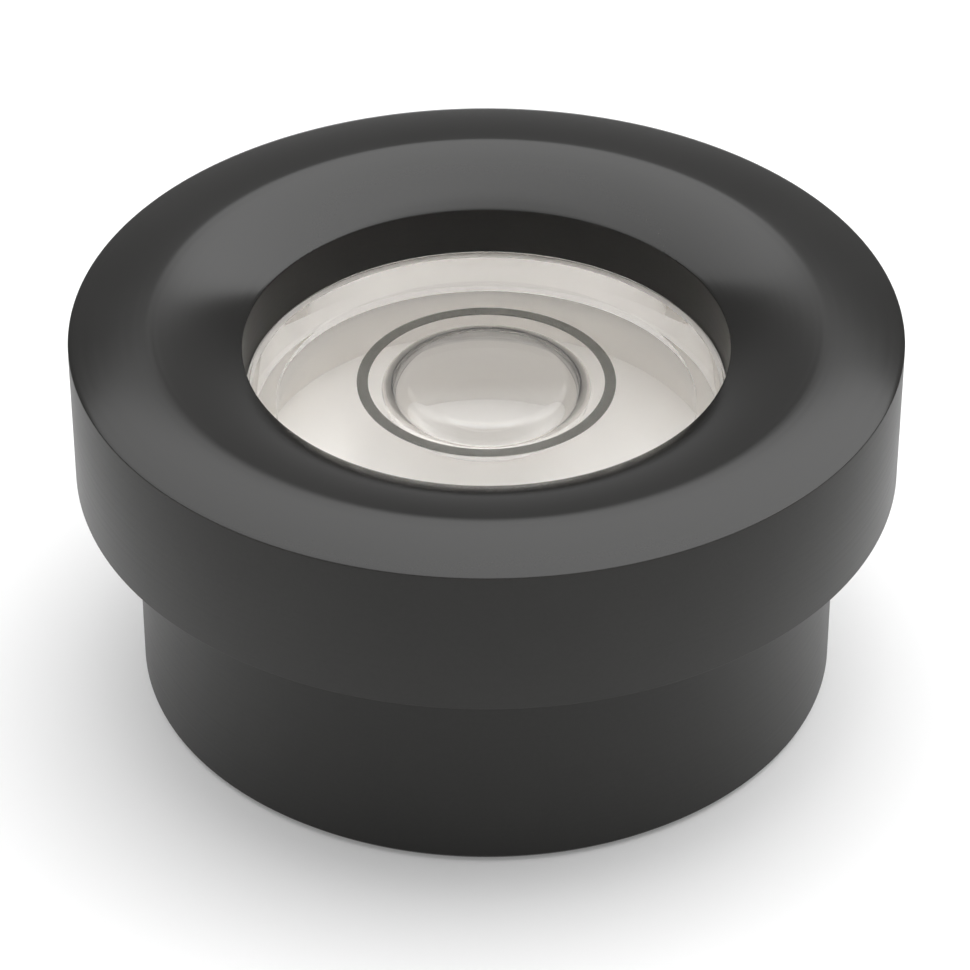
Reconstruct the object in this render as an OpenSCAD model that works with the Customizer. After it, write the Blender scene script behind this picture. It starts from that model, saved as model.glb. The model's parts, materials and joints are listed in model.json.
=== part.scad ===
// Bullseye level: a round bubble vial set in a turned metal housing with a collar.
// The housing drops into a round seat until the underside of its collar rests on it.
// Millimetres, +Z up, origin at the middle of the housing's bottom face.

/* [Housing] */
// Diameter of the collar
collar_d = 21; // [19.5:0.5:30]
// Diameter of the body below the collar
body_d = 18; // [15:0.5:19]
// Height of the collar's sharp outer edge above the bottom face
edge_h = 10; // [9.8:0.1:16]
// Height of the collar's straight wall
collar_wall = 3.9; // [2.5:0.1:6]
// Chamfer that leads the body into its seat
lead_chamfer = 0.2; // [0.1:0.05:0.6]
// Metal left under the blind bore
floor_t = 1.3; // [0.8:0.1:1.5]

/* [Crown] */
// Diameter of the crest, the highest circle on the collar's face
crest_d = 17; // [15:0.25:18.5]
// Height of the crest above the outer edge
crest_rise = 0.25; // [0.1:0.05:0.5]
// Depth of the bore's lip under the outer edge
lip_drop = 0.5; // [0.2:0.05:0.8]
// Slope of the face just inside the crest, in degrees
crest_break = 3.5; // [0:0.5:6]

/* [Vial] */
// Diameter of the vial
vial_d = 12.2; // [11.5:0.1:13]
// Height of the vial, from under its cup to the window
vial_h = 7; // [6:0.1:7.2]
// Gap all round between the vial and its bore
vial_clearance = 0.05; // [0.02:0.01:0.15]

/* [Clear cap] */
// Thickness of the window at its middle
window_t = 1; // [0.6:0.1:1.4]
// Radius of the domed ceiling, which sets how far the bubble runs for a given tilt
dome_r = 115; // [40:5:400]
// Depth of the cap, from the window to the foot of its skirt
cap_h = 2.5; // [2:0.1:4]
// Thickness of the cap's skirt
skirt_t = 0.6; // [0.4:0.05:1.2]
// Thickness of the flange that covers the cup's rim
flange_t = 0.3; // [0.3:0.05:0.8]
// Chamfer round the window's top edge
window_chamfer = 0.1; // [0.05:0.05:0.2]

/* [White cup] */
// Thickness of the cup's side wall
cup_wall = 0.15; // [0.1:0.05:0.4]
// Thickness of the cup's floor
cup_floor_t = 1.6; // [0.8:0.1:2]

/* [Bubble] */
// Diameter of the bubble
bubble_d = 5.4; // [4:0.1:5.6]
// Height of the bubble
bubble_h = 3.35; // [2.4:0.05:3.4]
// Radius of the bubble's round rim
bubble_rim_r = 0.7; // [0.6:0.05:1.1]
// Film of liquid between the bubble and the ceiling
film_t = 0.03; // [0.02:0.01:0.1]
// Place of the bubble behind the middle
bubble_back = 0.9; // [-1.3:0.1:1.3]

/* [Reading ring] */
// Diameter of the ring at the middle of its line
ring_d = 6.3; // [5.9:0.1:8]
// Width of the ring's line
ring_line = 0.28; // [0.2:0.02:0.5]
// Thickness of the print
ring_t = 0.03; // [0.02:0.01:0.06]

/* [Hidden] */
$fn = 96;

collar_r = collar_d / 2;
body_r = body_d / 2;
crest_r = crest_d / 2;
vial_r = vial_d / 2;
bore_r = vial_r + vial_clearance;
cap_r = vial_r - cup_wall;
chamber_r = cap_r - skirt_t;

// Heights of the housing's faces
seat_z = edge_h - collar_wall;
lip_z = edge_h - lip_drop;
crest_z = edge_h + crest_rise;

// Heights in the vial, which stands on the floor of the bore
cup_floor_z = floor_t + cup_floor_t;
vial_top_z = floor_t + vial_h;
flange_z = vial_top_z - flange_t;
cap_foot_z = vial_top_z - cap_h;
ceiling_z = vial_top_z - window_t;

// Spare length of a cutting shape past the face that it leaves
past = 1;

// The crown's outer arc is level at the crest and meets the wall at the outer edge
crown_out_w = collar_r - crest_r;
crown_out_r = (crown_out_w ^ 2 + crest_rise ^ 2) / (2 * crest_rise);
crown_out_centre = [crest_r, crest_z - crown_out_r];

// The crown's inner arc leaves the crest at crest_break and meets the bore at the lip
crown_in_run = [crest_r - bore_r, crest_z - lip_z];
crown_in_slope = atan2(crown_in_run.y, crown_in_run.x);
crown_in_r = norm(crown_in_run) / (2 * sin(crown_in_slope - crest_break));
crown_in_centre = [crest_r, crest_z] + crown_in_r * [sin(crest_break), -cos(crest_break)];

// The bubble's rim and belly are arcs that cross by a hair, so that every size builds
arc_overlap = 0.01;
rim_centre = [bubble_d / 2 - bubble_rim_r, arc_overlap - bubble_rim_r];
rim_above_bottom = bubble_h + rim_centre.y;
belly_reach = bubble_rim_r - arc_overlap;
belly_r = (rim_centre.x ^ 2 + rim_above_bottom ^ 2 - belly_reach ^ 2)
    / (2 * (rim_above_bottom - belly_reach));
belly_centre = [0, belly_r - bubble_h];
to_belly = (rim_centre - belly_centre) / norm(rim_centre - belly_centre);

// The bubble's flat top clears the domed ceiling where it reaches furthest from the axis
flat_r = rim_centre.x + sqrt(2 * bubble_rim_r * arc_overlap - arc_overlap ^ 2);
flat_reach = abs(bubble_back) + flat_r;
bubble_top_z = ceiling_z - (dome_r - sqrt(dome_r ^ 2 - flat_reach ^ 2)) - film_t;

// All of the turned outline below and beside the crown, up to past its crest
module turned_blank() {
    polygon([
        [0, 0],
        [body_r - lead_chamfer, 0],
        [body_r, lead_chamfer],
        [body_r, seat_z],
        [collar_r, seat_z],
        [collar_r, crest_z + past],
        [0, crest_z + past],
    ]);
}

// What the lathe takes off above one arc of the crown
module above_arc(from_r, to_r, centre, radius) {
    difference() {
        translate([from_r, lip_z - past]) square([to_r - from_r, crest_z - lip_z + 3 * past]);
        translate(centre) circle(r = radius);
    }
}

module housing() {
    color([0.2, 0.2, 0.2])
    rotate_extrude() difference() {
        turned_blank();
        above_arc(crest_r, collar_r + past, crown_out_centre, crown_out_r);
        above_arc(bore_r - past, crest_r, crown_in_centre, crown_in_r);
        translate([0, floor_t]) square([bore_r, crest_z]);
    }
}

// The part of a half outline that lies under the domed ceiling
module under_dome() {
    intersection() {
        children();
        translate([0, ceiling_z - dome_r]) circle(r = dome_r, $fn = 720);
    }
}

module vial_body() {
    color([0.9, 0.92, 0.9, 0.4])
    rotate_extrude() difference() {
        polygon([
            [0, cap_foot_z],
            [cap_r, cap_foot_z],
            [cap_r, flange_z],
            [vial_r, flange_z],
            [vial_r, vial_top_z - window_chamfer],
            [vial_r - window_chamfer, vial_top_z],
            [0, vial_top_z],
        ]);
        under_dome() translate([0, cap_foot_z - past]) square([chamber_r, cap_h + past]);
    }
}

module vial_base() {
    color([0.92, 0.92, 0.9])
    rotate_extrude() polygon([
        [0, floor_t],
        [vial_r, floor_t],
        [vial_r, flange_z],
        [cap_r, flange_z],
        [cap_r, cup_floor_z],
        [0, cup_floor_z],
    ]);
}

// What lies outside the bubble's round rim, between its flat top and its belly
module past_rim() {
    far = bubble_d + bubble_h;
    difference() {
        polygon([
            rim_centre,
            [rim_centre.x, past],
            [far, past],
            [far, -far],
            rim_centre + far * to_belly,
        ]);
        translate(rim_centre) circle(r = bubble_rim_r);
    }
}

module air_bubble() {
    color([1, 1, 1, 0.5])
    translate([0, bubble_back, bubble_top_z]) rotate_extrude() difference() {
        intersection() {
            translate(belly_centre) circle(r = belly_r);
            translate([0, -bubble_h - past]) square([bubble_d, bubble_h + past]);
        }
        past_rim();
    }
}

module liquid() {
    color([0.88, 0.92, 0.86, 0.4])
    difference() {
        rotate_extrude() under_dome() polygon([
            [0, cup_floor_z],
            [cap_r, cup_floor_z],
            [cap_r, cap_foot_z],
            [chamber_r, cap_foot_z],
            [chamber_r, vial_top_z],
            [0, vial_top_z],
        ]);
        air_bubble();
    }
}

module reading_ring() {
    color([0.38, 0.37, 0.33])
    translate([0, 0, vial_top_z]) difference() {
        cylinder(d = ring_d + ring_line, h = ring_t);
        translate([0, 0, -past]) cylinder(d = ring_d - ring_line, h = ring_t + 2 * past);
    }
}

housing();
vial_body();
vial_base();
liquid();
air_bubble();
reading_ring();
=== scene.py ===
"""Looks of a bullseye level: a clear bubble vial set in a black turned housing, on a pale floor."""
import json
import math

import bpy
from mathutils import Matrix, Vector


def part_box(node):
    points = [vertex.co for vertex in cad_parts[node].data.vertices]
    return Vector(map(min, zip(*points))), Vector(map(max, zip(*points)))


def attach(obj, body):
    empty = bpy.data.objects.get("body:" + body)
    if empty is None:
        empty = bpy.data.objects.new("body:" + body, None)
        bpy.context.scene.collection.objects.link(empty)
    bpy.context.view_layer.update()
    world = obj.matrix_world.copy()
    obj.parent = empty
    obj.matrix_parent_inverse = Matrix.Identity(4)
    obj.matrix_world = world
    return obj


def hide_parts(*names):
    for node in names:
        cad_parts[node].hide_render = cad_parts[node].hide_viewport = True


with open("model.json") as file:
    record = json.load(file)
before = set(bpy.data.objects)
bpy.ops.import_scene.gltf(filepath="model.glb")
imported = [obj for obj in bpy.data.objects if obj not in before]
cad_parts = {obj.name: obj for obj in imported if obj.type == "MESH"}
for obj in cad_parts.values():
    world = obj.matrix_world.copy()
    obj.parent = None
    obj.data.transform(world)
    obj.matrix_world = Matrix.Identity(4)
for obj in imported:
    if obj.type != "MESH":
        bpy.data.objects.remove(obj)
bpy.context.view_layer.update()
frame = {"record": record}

bl_info = {
    "name": "Bullseye level looks",
    "version": (1, 0, 0),
    "blender": (4, 5, 0),
    "location": "3D View > Sidebar > Bullseye level",
    "description": "Dresses the packed bullseye level with its turned metal, clear vial, liquid and printed ring",
    "category": "Object",
}

MM = 0.001
MOUNTS = {mount["name"]: mount for mount in frame["record"]["mounts"]}

# Segments round the axis, of the pieces and of the floor
FINE = 288
COARSE = 32

# The floor's radius, and its opening under the part as a share of the part's radius
FLOOR_RADIUS = 20
FLOOR_OPENING = 0.8

# Points closer than this are one point
SAME_POINT = 0.0005 * MM


def radius_of(node):
    """Radius of a round node, from its box."""
    low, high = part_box(node)
    return (high.x - low.x) / 2


def bottom_of(node):
    """Height of a node's lowest point."""
    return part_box(node)[0].z


def top_of(node):
    """Height of a node's highest point."""
    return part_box(node)[1].z


def length(name, description, default):
    """A size in metres that a user would change."""
    return bpy.props.FloatProperty(
        name=name, description=description, default=default, min=0.0, unit="LENGTH", precision=5)


def colour(name, description, default):
    """A colour that a user would change."""
    return bpy.props.FloatVectorProperty(
        name=name, description=description, default=default, subtype="COLOR", size=3, min=0.0, max=1.0)


def share(name, description, default):
    """A number from 0 to 1 that a user would change."""
    return bpy.props.FloatProperty(
        name=name, description=description, default=default, min=0.0, max=1.0, subtype="FACTOR")


def ratio(name, description, default):
    """A plain number that a user would change."""
    return bpy.props.FloatProperty(name=name, description=description, default=default, min=0.0)


class HousingLooks(bpy.types.PropertyGroup):
    """Sizes and finish of the turned housing, with a lighter black on the walls as painted light"""

    edge_height: length("Edge height", "Height of the collar's sharp outer edge", 10 * MM)
    crest_radius: length("Crest radius", "Radius of the highest circle of the crown", 8.5 * MM)
    lip_height: length("Lip height", "Height of the bore's lip", 9.5 * MM)
    bore_gap: length("Bore gap", "Gap between the vial and the bore", 0.05 * MM)
    lead_chamfer: length("Lead chamfer", "Chamfer round the bottom face", 0.2 * MM)
    edge_break: length("Edge break", "Width of the tiny bevel that the turned edges have", 0.025 * MM)
    crest_break: bpy.props.FloatProperty(
        name="Crest break", description="Slope just inside the crest",
        default=math.radians(3.5), subtype="ANGLE")
    crown_black: colour("Crown black", "Colour of the dyed layer on the crown", (0.0118, 0.0115, 0.0108))
    # The walls' black is painted about twice as light as the crown's, as painted light that lifts the walls and
    # the body's shaded lower part
    lit_wall_black: colour("Lit wall black", "Colour of the dyed layer on the walls, made lighter than the crown's as painted light", (0.025, 0.0245, 0.023))
    crown_roughness: share("Crown roughness", "Roughness of the fine-turned crown", 0.16)
    wall_roughness: share("Wall roughness", "Roughness of the walls, the bore and the underside", 0.4)
    crown_ior: ratio("Crown index", "Refractive index of the anodic layer on the crown", 1.4)
    wall_ior: ratio("Wall index", "Refractive index of the matter layer on the walls", 1.31)


class VialLooks(bpy.types.PropertyGroup):
    """Sizes, colours and clearness of the vial and what it holds"""

    window_chamfer: length("Window chamfer", "Chamfer round the window's top edge", 0.1 * MM)
    dome_radius: length("Dome radius", "Radius of the domed ceiling over the bubble", 115 * MM)
    skirt: length("Skirt", "Thickness of the clear cap's skirt", 0.6 * MM)
    air_gap: length("Air gap", "Thin layer of air between the cap's skirt and the cup", 0.01 * MM)
    bubble_rim: length("Bubble rim", "Radius of the bubble's round rim", 0.7 * MM)
    line_width: length("Line width", "Width of the printed ring's line", 0.28 * MM)
    acrylic_ior: ratio("Acrylic index", "Refractive index of the clear acrylic", 1.49)
    liquid_ior: ratio("Liquid index", "Refractive index of the liquid", 1.42)
    white: colour("White", "Colour of the white cup", (0.975, 0.95, 0.915))
    # Painted shade: the cup's wall behind the cap is darkened to this share of its white, the rest of the wall
    # and the floor's rim less
    painted_shade_share: share("Painted shade share", "How white the cup stays where its painted shade is darkest, on the wall behind the cap", 0.7)
    ink: colour("Ink", "Colour of the printed ring", (0.055, 0.053, 0.042))
    ink_cover: share("Ink cover", "How much of the light the thin ink stops", 0.65)


class StudioLooks(bpy.types.PropertyGroup):
    """Camera, floor and lights"""

    camera_elevation: bpy.props.FloatProperty(
        name="Camera elevation", description="Angle of the view above the horizon",
        default=math.radians(36.15), subtype="ANGLE")
    camera_distance: length("Camera distance", "From the camera to the point it looks at", 113.67 * MM)
    aim_height: length("Aim height", "Height of the point that the camera looks at", 5.03 * MM)
    aim_side: bpy.props.FloatProperty(
        name="Aim side", description="Place of the point that the camera looks at, left or right",
        default=-0.035 * MM, unit="LENGTH", precision=6)
    lens: bpy.props.FloatProperty(name="Lens", description="Focal length in millimetres", default=163.5)
    bounces: bpy.props.IntProperty(
        name="Bounces", description="How often light may bounce or refract", default=32, min=4)
    room: length("Room", "Radius of the space inside the grey cards", 3.75)
    ceiling_height: length("Ceiling height", "Height of the softbox above the floor", 2.5)
    softbox_radius: length("Softbox radius", "Radius of the softbox's bright part", 3.47)
    softbox_shift: length("Softbox shift", "How far the softbox hangs to the right", 0.35)
    middle_light: ratio("Middle light", "Radiance of the softbox's middle", 3.7)
    edge_light: ratio("Edge light", "Radiance near the softbox's edge", 2.4)
    side_gain: bpy.props.FloatProperty(
        name="Side gain", description="Share by which the softbox grows brighter per metre to the right",
        default=0.1)
    front_share: share("Front share", "Share of the softbox's light that its front part gives", 0.25)
    back_card_light: ratio("Back card light", "Radiance of the grey card behind the part", 0.42)
    side_card_light: ratio("Side card light", "Radiance of the dark cards at the sides and in front", 0.24)
    floor_white: colour("Floor", "Colour of the pale floor", (0.76, 0.76, 0.76))
    floor_glow: ratio("Floor glow", "Radiance that the floor adds where it is seen", 0.16)


class Socket:
    """An output of a node tree that Python's operators work on."""

    def __init__(self, recipe, output):
        self.recipe = recipe
        self.output = output

    def math(self, operation, first, second):
        """A Math node on two values, which may be sockets or numbers."""
        return self.recipe.node("ShaderNodeMath", {"operation": operation}, {0: first, 1: second})

    def __add__(self, other):
        return self.math("ADD", self, other)

    def __sub__(self, other):
        return self.math("SUBTRACT", self, other)

    def __rsub__(self, other):
        return self.math("SUBTRACT", other, self)

    def __mul__(self, other):
        return self.math("MULTIPLY", self, other)

    __radd__ = __add__
    __rmul__ = __mul__


class Recipe:
    """The node tree of a material or world, built one node at a time."""

    def __init__(self, owner):
        owner.use_nodes = True
        self.tree = owner.node_tree
        self.tree.nodes.clear()

    def node(self, kind, settings=None, inputs=None, output=0):
        """Adds a node, sets it up, fills or links its inputs and gives one of its outputs."""
        made = self.tree.nodes.new(kind)
        for name, value in (settings or {}).items():
            setattr(made, name, value)
        for key, value in (inputs or {}).items():
            if isinstance(value, Socket):
                self.tree.links.new(value.output, made.inputs[key])
            else:
                made.inputs[key].default_value = value
        return Socket(self, made.outputs[output])

    def mix_colour(self, factor, first, second):
        """Blends two colours by a factor."""
        return self.node(
            "ShaderNodeMix", {"data_type": "RGBA"},
            {"Factor": factor, 6: opaque(first), 7: opaque(second)}, output=2)

    def rise(self, value, start, end):
        """Goes from 0 to 1 as a value goes from start to end."""
        return self.node("ShaderNodeMapRange", {}, {
            "Value": value, "From Min": start, "From Max": end, "To Min": 0.0, "To Max": 1.0})

    def finish(self, shader):
        """Links the shader to the output."""
        self.node_output = self.tree.nodes.new(
            "ShaderNodeOutputWorld" if self.is_world() else "ShaderNodeOutputMaterial")
        self.tree.links.new(shader.output, self.node_output.inputs["Surface"])

    def is_world(self):
        """Whether the tree belongs to a world."""
        return any(node.bl_idname == "ShaderNodeBackground" for node in self.tree.nodes)


def opaque(value):
    """A colour with its alpha added, or a socket as it is."""
    return value if isinstance(value, Socket) else (*value, 1.0)


def new_recipe(name):
    """A new material with an empty node tree."""
    material = bpy.data.materials.new(name)
    return material, Recipe(material)


def when_seen(recipe):
    """1 where a surface is looked at, also in metal or through glass, and 0 where it only lights others."""
    seen = sum(recipe.node("ShaderNodeLightPath", output=kind) for kind in (
        "Is Camera Ray", "Is Glossy Ray", "Is Transmission Ray"))
    return recipe.node("ShaderNodeMath", {"operation": "MINIMUM"}, {0: seen, 1: 1.0})


def black_anodised(name, black, roughness, ior):
    """Black anodised aluminium, with the fine circles that turning leaves."""
    material, recipe = new_recipe(name)
    place = recipe.node("ShaderNodeTexCoord", output="Object")
    height = recipe.node("ShaderNodeSeparateXYZ", {}, {0: place}, output="Z")
    flat = recipe.node("ShaderNodeVectorMath", {"operation": "MULTIPLY"}, {0: place, 1: (1, 1, 0)})
    radius = recipe.node("ShaderNodeVectorMath", {"operation": "LENGTH"}, {0: flat}, output="Value")
    along = (radius + height) * 1000

    fine = recipe.node(
        "ShaderNodeTexNoise", {"noise_dimensions": "1D"}, {"W": along, "Scale": 9.0, "Detail": 3.0})
    broad = recipe.node(
        "ShaderNodeTexNoise", {"noise_dimensions": "1D"}, {"W": along, "Scale": 1.7, "Detail": 1.0})
    grain = recipe.node("ShaderNodeTexNoise", {}, {"Vector": place, "Scale": 9000.0, "Detail": 2.0})
    cloud = recipe.node("ShaderNodeTexNoise", {}, {"Vector": place, "Scale": 260.0, "Detail": 2.0})

    tone = recipe.mix_colour(cloud * 0.6 + grain * 0.4, scaled(black, 0.75), scaled(black, 1.3))
    rough = (fine - 0.5) * 0.06 + (cloud - 0.5) * 0.05 + roughness
    height_map = fine * 0.5 + broad * 0.4
    bump = recipe.node(
        "ShaderNodeBump", {}, {"Strength": 0.1, "Distance": 0.02 * MM, "Height": height_map})
    recipe.finish(recipe.node("ShaderNodeBsdfPrincipled", {}, {
        "Base Color": tone, "Roughness": rough, "IOR": ior, "Normal": bump}))
    return material


def scaled(rgb, factor):
    """A colour made lighter or darker."""
    return tuple(channel * factor for channel in rgb)


def clear(name, ior, roughness):
    """A clear boundary between two media, with ior as the inner index over the outer one."""
    material, recipe = new_recipe(name)
    place = recipe.node("ShaderNodeTexCoord", output="Object")
    haze = recipe.node("ShaderNodeTexNoise", {}, {"Vector": place, "Scale": 400.0, "Detail": 2.0})
    recipe.finish(recipe.node("ShaderNodeBsdfPrincipled", {}, {
        "Base Color": opaque((1, 1, 1)), "Roughness": haze * roughness, "IOR": ior,
        "Transmission Weight": 1.0}))
    return material


def white_plastic(looks, wall_radius, wall_foot, cap_foot):
    """White moulded plastic with a faint mottle, and painted shade: its walls, most behind the cap, and the rim
    of its floor are darker, so the middle of its floor is whitest.
    """
    material, recipe = new_recipe("white_moulded")
    place = recipe.node("ShaderNodeTexCoord", output="Object")
    mottle = recipe.node("ShaderNodeTexNoise", {}, {"Vector": place, "Scale": 350.0, "Detail": 3.0})
    height = recipe.node("ShaderNodeSeparateXYZ", {}, {0: place}, output="Z")
    flat = recipe.node("ShaderNodeVectorMath", {"operation": "MULTIPLY"}, {0: place, 1: (1, 1, 0)})
    radius = recipe.node("ShaderNodeVectorMath", {"operation": "LENGTH"}, {0: flat}, output="Value")
    # Painted shade: the floor darkens from its middle to its rim, and the wall darkens, most where the cap stands
    # in front of it, as where less light reaches
    from_middle = recipe.rise(radius, 1.5 * MM, wall_radius)
    in_wall = recipe.rise(height, wall_foot, wall_foot + 0.1 * MM)
    behind_cap = recipe.rise(height, cap_foot - 0.3 * MM, cap_foot + 0.3 * MM)
    painted_shade = in_wall * (0.35 + behind_cap * 0.65) + (1 - in_wall) * from_middle * 0.45
    white = recipe.mix_colour(mottle, scaled(looks.white, 0.98), looks.white)
    tone = recipe.mix_colour(painted_shade, white, scaled(looks.white, looks.painted_shade_share))
    bump = recipe.node(
        "ShaderNodeBump", {}, {"Strength": 0.1, "Distance": 0.01 * MM, "Height": mottle})
    recipe.finish(recipe.node("ShaderNodeBsdfPrincipled", {}, {
        "Base Color": tone, "Roughness": mottle * 0.2 + 0.35, "IOR": 1.06, "Normal": bump}))
    return material


def printed_ink(looks):
    """Thin pad-printed ink, a little see-through."""
    material, recipe = new_recipe("printed_ink")
    place = recipe.node("ShaderNodeTexCoord", output="Object")
    speckle = recipe.node("ShaderNodeTexNoise", {}, {"Vector": place, "Scale": 6000.0, "Detail": 2.0})
    tone = recipe.mix_colour(speckle, scaled(looks.ink, 0.8), scaled(looks.ink, 1.25))
    cover = (speckle - 0.5) * 0.1 + looks.ink_cover
    recipe.finish(recipe.node("ShaderNodeBsdfPrincipled", {}, {
        "Base Color": tone, "Roughness": 0.55, "IOR": 1.45, "Alpha": cover}))
    return material


def pick(selected):
    """Selects only the given object and makes it active."""
    bpy.ops.object.select_all(action="DESELECT")
    selected.select_set(True)
    bpy.context.view_layer.objects.active = selected


def lathe(name, outline, segments):
    """Turns an outline of radius and height pairs, which starts at a flat face and ends at one or on the axis."""
    bpy.ops.object.select_all(action="DESELECT")
    radius, height = outline[0]
    bpy.ops.mesh.primitive_circle_add(
        vertices=segments, radius=radius, fill_type="NGON", location=(0, 0, height))
    piece = bpy.context.active_object
    piece.name = name
    bpy.ops.object.transform_apply(location=True, rotation=True, scale=True)
    bpy.ops.object.mode_set(mode="EDIT")
    bpy.ops.mesh.select_all(action="SELECT")
    for next_radius, next_height in outline[1:]:
        bpy.ops.mesh.extrude_region_move(
            TRANSFORM_OT_translate={"value": (0, 0, next_height - height)})
        factor = next_radius / radius
        bpy.ops.transform.resize(value=(factor, factor, 1), center_override=(0, 0, next_height))
        radius, height = next_radius, next_height
    bpy.ops.mesh.select_all(action="SELECT")
    bpy.ops.mesh.remove_doubles(threshold=SAME_POINT)
    bpy.ops.mesh.normals_make_consistent(inside=False)
    bpy.ops.mesh.select_all(action="DESELECT")
    bpy.ops.object.mode_set(mode="OBJECT")
    return piece


def washer(name, inner, outer, height, segments):
    """A flat ring, made from its inner circle."""
    bpy.ops.object.select_all(action="DESELECT")
    bpy.ops.mesh.primitive_circle_add(
        vertices=segments, radius=inner, fill_type="NOTHING", location=(0, 0, height))
    ring = bpy.context.active_object
    ring.name = name
    bpy.ops.object.transform_apply(location=True, rotation=True, scale=True)
    bpy.ops.object.mode_set(mode="EDIT")
    bpy.ops.mesh.select_all(action="SELECT")
    bpy.ops.mesh.extrude_region_move(TRANSFORM_OT_translate={"value": (0, 0, 0)})
    factor = outer / inner
    bpy.ops.transform.resize(value=(factor, factor, 1), center_override=(0, 0, height))
    bpy.ops.mesh.select_all(action="SELECT")
    bpy.ops.mesh.normals_make_consistent(inside=False)
    bpy.ops.object.mode_set(mode="OBJECT")
    return ring


def arc(centre, radius, start, end, steps):
    """Points along an arc from one angle to another, in the outline's plane."""
    turn = (end - start) / steps
    return [
        (centre[0] + radius * math.cos(start + turn * i), centre[1] + radius * math.sin(start + turn * i))
        for i in range(steps + 1)
    ]


def smooth(piece, degrees):
    """Shades the piece smooth, apart from edges sharper than the angle."""
    pick(piece)
    bpy.ops.object.shade_smooth_by_angle(angle=math.radians(degrees))


def bevel_edges(piece, width, segments, degrees):
    """Breaks the piece's sharp edges by a small round bevel."""
    pick(piece)
    bevel = piece.modifiers.new("edge_break", "BEVEL")
    bevel.width = width
    bevel.segments = segments
    bevel.limit_method = "ANGLE"
    bevel.angle_limit = math.radians(degrees)
    bpy.ops.object.modifier_apply(modifier=bevel.name)


def dress(piece, materials, slot, *nodes):
    """Gives a piece its materials and ties it to the frame."""
    for material in materials:
        piece.data.materials.append(material)
    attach(piece, "root")
    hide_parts(*nodes)


def crown_outline(looks, collar_radius, crest_height, bore_radius):
    """The crown's two arcs, from the outer edge over the crest to the lip."""
    crest = looks.crest_radius
    out_width = collar_radius - crest
    rise = crest_height - looks.edge_height
    out_radius = (out_width ** 2 + rise ** 2) / (2 * rise)
    edge_angle = math.asin(out_width / out_radius)
    outer = arc((crest, crest_height - out_radius), out_radius,
                math.pi / 2 - edge_angle, math.pi / 2, 16)

    run = crest - bore_radius
    drop = crest_height - looks.lip_height
    in_radius = math.hypot(run, drop) / (2 * math.sin(math.atan2(drop, run) - looks.crest_break))
    centre = (crest + in_radius * math.sin(looks.crest_break),
              crest_height - in_radius * math.cos(looks.crest_break))
    lip_angle = math.asin((centre[0] - bore_radius) / in_radius)
    inner = arc(centre, in_radius, math.pi / 2 + looks.crest_break, math.pi / 2 + lip_angle, 28)
    return outer + inner[1:]


class MakeHousing(bpy.types.Operator):
    """Turn the black housing from its outline and break its edges"""

    bl_idname = "bullseye.make_housing"
    bl_label = "Housing"

    def execute(self, context):
        looks = context.scene.housing_looks
        collar_radius = radius_of("housing")
        body_radius = MOUNTS["body_spigot"]["dims"]["r_mm"] * MM
        seat_height = MOUNTS["collar_seat"]["pos_m"][2]
        bore_radius = radius_of("vial_body") + looks.bore_gap
        outline = [
            (body_radius - looks.lead_chamfer, 0),
            (body_radius, looks.lead_chamfer),
            (body_radius, seat_height),
            (collar_radius, seat_height),
            *crown_outline(looks, collar_radius, top_of("housing"), bore_radius),
            (bore_radius, bottom_of("vial_base")),
        ]
        piece = lathe("turned_housing", outline, FINE)
        bevel_edges(piece, looks.edge_break, 3, 25)
        smooth(piece, 40)
        dress(piece, [
            # The walls get the lighter black, painted light over their shade
            black_anodised("black_anodised_walls", looks.lit_wall_black, looks.wall_roughness, looks.wall_ior),
            black_anodised("black_anodised_crown", looks.crown_black, looks.crown_roughness, looks.crown_ior),
        ], "housing", "housing")
        for face in piece.data.polygons:
            out = math.hypot(face.center.x, face.center.y)
            crown = face.center.z > looks.lip_height - looks.edge_break and bore_radius < out < collar_radius
            face.material_index = 1 if crown and face.normal.z > 0.7 else 0
        return {"FINISHED"}


def dome_outline(looks, radius, apex):
    """The domed ceiling's outline, from its edge up to the axis."""
    edge_angle = math.asin(radius / looks.dome_radius)
    return arc((0, apex - looks.dome_radius), looks.dome_radius,
               math.pi / 2 - edge_angle, math.pi / 2, 20)


class MakeCap(bpy.types.Operator):
    """Model the clear cap, with its window, flange, skirt and domed ceiling"""

    bl_idname = "bullseye.make_cap"
    bl_label = "Clear cap"

    def execute(self, context):
        looks = context.scene.vial_looks
        radius = radius_of("vial_body")
        top = top_of("vial_body")
        flange = top_of("vial_base")
        foot = bottom_of("vial_body")
        skirt_radius = radius_of("liquid") - looks.air_gap
        chamber_radius = radius_of("liquid") - looks.skirt
        cap = lathe("clear_cap", [
            (radius - looks.window_chamfer, top),
            (radius, top - looks.window_chamfer),
            (radius, flange),
            (skirt_radius, flange),
            (skirt_radius, foot),
            (chamber_radius, foot),
            *dome_outline(looks, chamber_radius, top_of("liquid")),
        ], FINE)
        smooth(cap, 40)
        relative = looks.acrylic_ior / looks.liquid_ior
        dress(cap, [clear("clear_acrylic", looks.acrylic_ior, 0.02),
                    clear("acrylic_to_liquid", relative, 0.0)],
              "vial_clear", "vial_body")
        for face in cap.data.polygons:
            inside = math.hypot(face.center.x, face.center.y) < skirt_radius - looks.air_gap
            face.material_index = 1 if inside and face.center.z < flange else 0
        return {"FINISHED"}


class MakeCup(bpy.types.Operator):
    """Model the white cup, whose rim reaches a hair into the cap's flange, as a weld does"""

    bl_idname = "bullseye.make_cup"
    bl_label = "White cup"

    def execute(self, context):
        looks = context.scene.vial_looks
        outer = radius_of("vial_base")
        inner = radius_of("liquid")
        rim = top_of("vial_base") + 0.01 * MM
        floor = bottom_of("liquid")
        cup = lathe("white_cup", [
            (outer, bottom_of("vial_base")),
            (outer, rim),
            (inner, rim),
            (inner, floor),
        ], FINE)
        smooth(cup, 40)
        dress(cup, [white_plastic(looks, inner, floor, bottom_of("vial_body"))], "vial_white", "vial_base")
        return {"FINISHED"}


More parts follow.
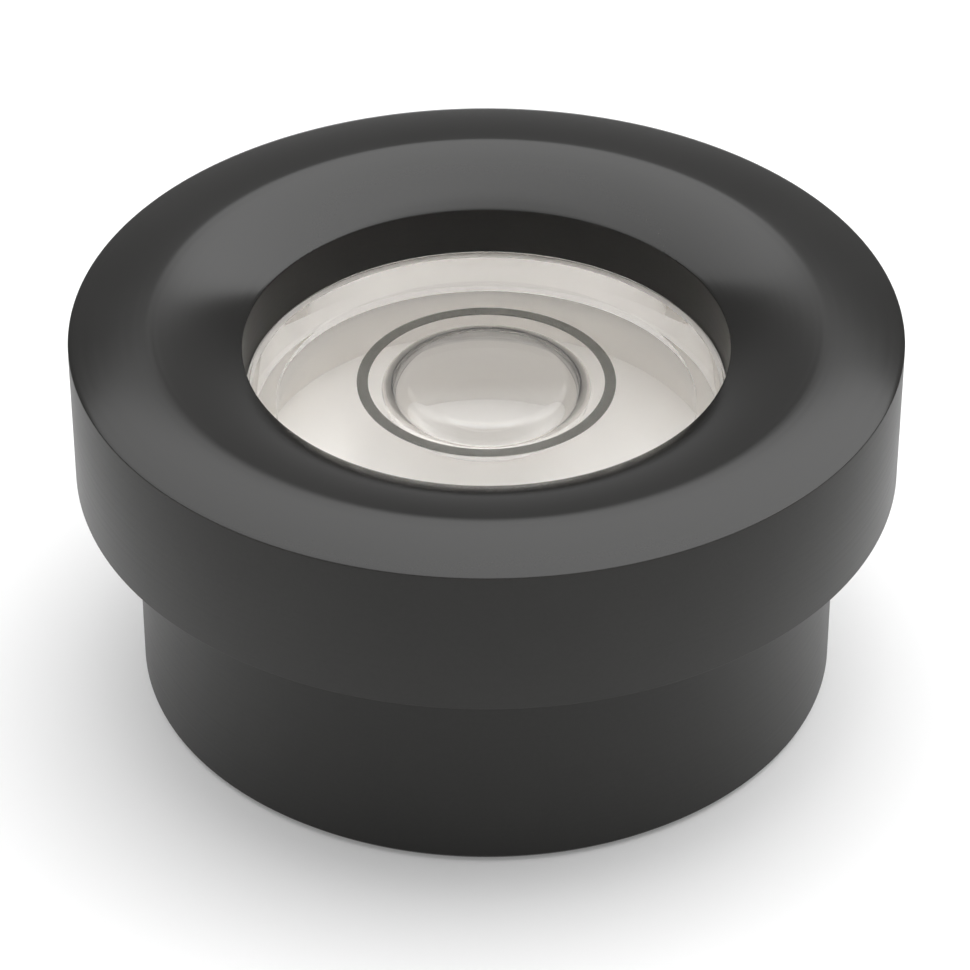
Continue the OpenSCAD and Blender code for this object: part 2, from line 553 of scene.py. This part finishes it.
class FillVial(bpy.types.Operator):
    """Model the liquid with the hollow that the bubble leaves in it"""

    bl_idname = "bullseye.fill_vial"
    bl_label = "Liquid and bubble"

    def execute(self, context):
        looks = context.scene.vial_looks
        skin = 0.004 * MM
        wide = radius_of("liquid") - skin
        narrow = wide - looks.skirt
        foot = bottom_of("vial_body") - skin
        liquid = lathe("liquid_fill", [
            (wide, bottom_of("liquid") + skin),
            (wide, foot),
            (narrow, foot),
            *dome_outline(looks, narrow, top_of("liquid") - skin),
        ], FINE)
        hollow = lathe("bubble_hollow", self.bubble_outline(looks), FINE)
        low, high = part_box("air_bubble")
        middle = (low + high) / 2
        pick(hollow)
        bpy.ops.object.mode_set(mode="EDIT")
        bpy.ops.mesh.select_all(action="SELECT")
        bpy.ops.transform.translate(value=(middle.x, middle.y, 0))
        bpy.ops.mesh.flip_normals()
        bpy.ops.object.mode_set(mode="OBJECT")
        smooth(liquid, 40)
        smooth(hollow, 60)
        liquid.data.materials.append(clear("liquid_skin", 1.0, 0.0))
        hollow.data.materials.append(clear("liquid_to_air", looks.liquid_ior, 0.0))
        bpy.ops.object.select_all(action="DESELECT")
        hollow.select_set(True)
        liquid.select_set(True)
        context.view_layer.objects.active = liquid
        bpy.ops.object.join()
        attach(liquid, "root")
        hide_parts("liquid", "air_bubble")
        return {"FINISHED"}

    def bubble_outline(self, looks):
        """Half outline of the bubble, from its flat top round to its lowest point."""
        low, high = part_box("air_bubble")
        rim = looks.bubble_rim
        rim_centre = ((high.x - low.x) / 2 - rim, high.z - rim)
        rise = rim_centre[1] - low.z
        belly = (rim_centre[0] ** 2 + rise ** 2 - rim ** 2) / (2 * (rise - rim))
        belly_centre = (0, low.z + belly)
        join = math.atan2(rim_centre[1] - belly_centre[1], rim_centre[0])
        side = arc(rim_centre, rim, math.pi / 2, join, 32)
        bottom = arc(belly_centre, belly, join, -math.pi / 2, 32)
        return side + bottom[1:]


class PrintRing(bpy.types.Operator):
    """Model the printed reading ring on top of the window"""

    bl_idname = "bullseye.print_ring"
    bl_label = "Reading ring"

    def execute(self, context):
        looks = context.scene.vial_looks
        outer = radius_of("reading_ring")
        sunk = bottom_of("reading_ring") - 0.004 * MM
        ring = washer("printed_ring", outer - looks.line_width, outer, sunk, FINE)
        bpy.ops.object.mode_set(mode="EDIT")
        bpy.ops.mesh.select_all(action="SELECT")
        bpy.ops.mesh.extrude_region_move(
            TRANSFORM_OT_translate={"value": (0, 0, top_of("reading_ring") - sunk)})
        bpy.ops.mesh.select_all(action="SELECT")
        bpy.ops.mesh.normals_make_consistent(inside=False)
        bpy.ops.object.mode_set(mode="OBJECT")
        smooth(ring, 40)
        dress(ring, [printed_ink(looks)], "print", "reading_ring")
        return {"FINISHED"}


class SetStage(bpy.types.Operator):
    """Lay the pale floor, hang the softbox and place the camera"""

    bl_idname = "bullseye.set_stage"
    bl_label = "Stage"

    def execute(self, context):
        looks = context.scene.studio_looks
        self.add_camera(context, looks)
        self.add_floor(looks)
        self.add_ceiling(looks)
        self.add_cards(looks)
        self.light_world(context)
        context.scene.view_settings.view_transform = "Standard"
        self.let_light_in(context.scene.cycles, looks.bounces)
        return {"FINISHED"}

    def let_light_in(self, cycles, bounces):
        """Allows the many bounces that light needs on its way in and out of the vial."""
        cycles.max_bounces = bounces
        cycles.diffuse_bounces = bounces
        cycles.glossy_bounces = bounces
        cycles.transmission_bounces = bounces
        cycles.transparent_max_bounces = bounces
        cycles.blur_glossy = 0

    def add_camera(self, context, looks):
        """The camera, at the photograph's angle."""
        data = bpy.data.cameras.new("camera")
        data.lens = looks.lens
        data.clip_start = 1 * MM
        data.clip_end = 100
        camera = bpy.data.objects.new("camera", data)
        context.collection.objects.link(camera)
        back = Vector((0, -math.cos(looks.camera_elevation), math.sin(looks.camera_elevation)))
        camera.location = Vector((looks.aim_side, 0, looks.aim_height)) + back * looks.camera_distance
        camera.rotation_mode = "QUATERNION"
        camera.rotation_quaternion = (-back).to_track_quat("-Z", "Y")
        context.scene.camera = camera

    def add_floor(self, looks):
        """A wide pale floor that keeps the part's shadow, open under the part so that they share no face."""
        floor = washer("floor", radius_of("housing") * FLOOR_OPENING, FLOOR_RADIUS, 0, COARSE)
        material, recipe = new_recipe("pale_floor")
        matt = recipe.node("ShaderNodeBsdfDiffuse", {}, {"Color": opaque(looks.floor_white)})
        glow = recipe.node("ShaderNodeEmission", {}, {
            "Color": opaque((1, 1, 1)), "Strength": when_seen(recipe) * looks.floor_glow})
        recipe.finish(recipe.node("ShaderNodeAddShader", {}, {0: matt, 1: glow}))
        floor.data.materials.append(material)

    def add_ceiling(self, looks):
        """A wide softbox overhead, brightest in its middle and dim in front, with grey card round it."""
        bpy.ops.object.select_all(action="DESELECT")
        bpy.ops.mesh.primitive_circle_add(
            vertices=64, radius=looks.room, fill_type="NGON", location=(0, 0, looks.ceiling_height))
        ceiling = bpy.context.active_object
        ceiling.name = "softbox"
        ceiling.visible_camera = False
        material, recipe = new_recipe("softbox_light")
        place = recipe.node("ShaderNodeTexCoord", output="Object")
        from_middle = recipe.node("ShaderNodeVectorMath", {"operation": "SUBTRACT"}, {
            0: place, 1: (looks.softbox_shift, 0, 0)})
        distance = recipe.node(
            "ShaderNodeVectorMath", {"operation": "LENGTH"}, {0: from_middle}, output="Value")
        side = recipe.node("ShaderNodeSeparateXYZ", {}, {0: place}, output="X")
        depth = recipe.node("ShaderNodeSeparateXYZ", {}, {0: place}, output="Y")
        front = recipe.node("ShaderNodeMapRange", {}, {
            "Value": depth, "From Min": -1.2, "From Max": 0.3,
            "To Min": looks.front_share, "To Max": 1.0})
        inside = recipe.node("ShaderNodeMapRange", {"interpolation_type": "SMOOTHSTEP"}, {
            "Value": distance, "From Min": looks.softbox_radius + 0.12,
            "From Max": looks.softbox_radius - 0.12, "To Min": 0.0, "To Max": 1.0})
        middle = recipe.node("ShaderNodeMapRange", {}, {
            "Value": distance, "From Min": 0.0, "From Max": looks.softbox_radius,
            "To Min": looks.middle_light, "To Max": looks.edge_light})
        strength = front * (
            inside * middle * (1 + side * looks.side_gain) + (1 - inside) * looks.back_card_light)
        recipe.finish(recipe.node("ShaderNodeEmission", {}, {"Color": opaque((1, 1, 1)), "Strength": strength}))
        ceiling.data.materials.append(material)

    def add_cards(self, looks):
        """Cards all round, from the floor to the ceiling, grey behind the part and dark elsewhere."""
        bpy.ops.object.select_all(action="DESELECT")
        bpy.ops.mesh.primitive_cylinder_add(
            vertices=64, radius=looks.room, depth=looks.ceiling_height, end_fill_type="NOTHING",
            location=(0, 0, looks.ceiling_height / 2))
        cards = bpy.context.active_object
        cards.name = "grey_cards"
        cards.visible_camera = False
        material, recipe = new_recipe("grey_card")
        place = recipe.node("ShaderNodeTexCoord", output="Object")
        depth = recipe.node("ShaderNodeSeparateXYZ", {}, {0: place}, output="Y")
        back = recipe.rise(depth, looks.room * 0.87, looks.room)
        recipe.finish(recipe.node("ShaderNodeEmission", {}, {
            "Color": opaque((1, 1, 1)),
            "Strength": looks.side_card_light + back * (looks.back_card_light - looks.side_card_light)}))
        cards.data.materials.append(material)

    def light_world(self, context):
        """A white surround for what is seen, and an even light on the floor past the cards."""
        world = bpy.data.worlds.new("studio")
        context.scene.world = world
        recipe = Recipe(world)
        recipe.finish(recipe.node("ShaderNodeBackground", {}, {
            "Color": opaque((1, 1, 1)), "Strength": 1.2 - when_seen(recipe) * 0.2}))


class LooksPanel(bpy.types.Panel):
    """Buttons and values for the bullseye level's looks"""

    bl_idname = "BULLSEYE_PT_looks"
    bl_label = "Bullseye level"
    bl_space_type = "VIEW_3D"
    bl_region_type = "UI"
    bl_category = "Bullseye level"

    def draw(self, context):
        scene = context.scene
        for operator, looks in STEPS:
            box = self.layout.box()
            box.operator(operator)
            for name in getattr(scene, looks).__annotations__ if looks else ():
                box.prop(getattr(scene, looks), name)


STEPS = (
    ("bullseye.make_housing", "housing_looks"),
    ("bullseye.make_cap", "vial_looks"),
    ("bullseye.make_cup", None),
    ("bullseye.fill_vial", None),
    ("bullseye.print_ring", None),
    ("bullseye.set_stage", "studio_looks"),
)
GROUPS = {"housing_looks": HousingLooks, "vial_looks": VialLooks, "studio_looks": StudioLooks}
CLASSES = (HousingLooks, VialLooks, StudioLooks, MakeHousing, MakeCap, MakeCup, FillVial,
           PrintRing, SetStage, LooksPanel)


def register():
    """Registers the classes and hangs their values on the scene."""
    for item in CLASSES:
        bpy.utils.register_class(item)
    for name, group in GROUPS.items():
        setattr(bpy.types.Scene, name, bpy.props.PointerProperty(type=group))


def unregister():
    """Takes everything off again."""
    for name in GROUPS:
        delattr(bpy.types.Scene, name)
    for item in reversed(CLASSES):
        bpy.utils.unregister_class(item)


def main():
    """Makes every piece and the stage."""
    register()
    bpy.ops.bullseye.make_housing()
    bpy.ops.bullseye.make_cap()
    bpy.ops.bullseye.make_cup()
    bpy.ops.bullseye.fill_vial()
    bpy.ops.bullseye.print_ring()
    bpy.ops.bullseye.set_stage()


if __name__ == "__main__":
    main()
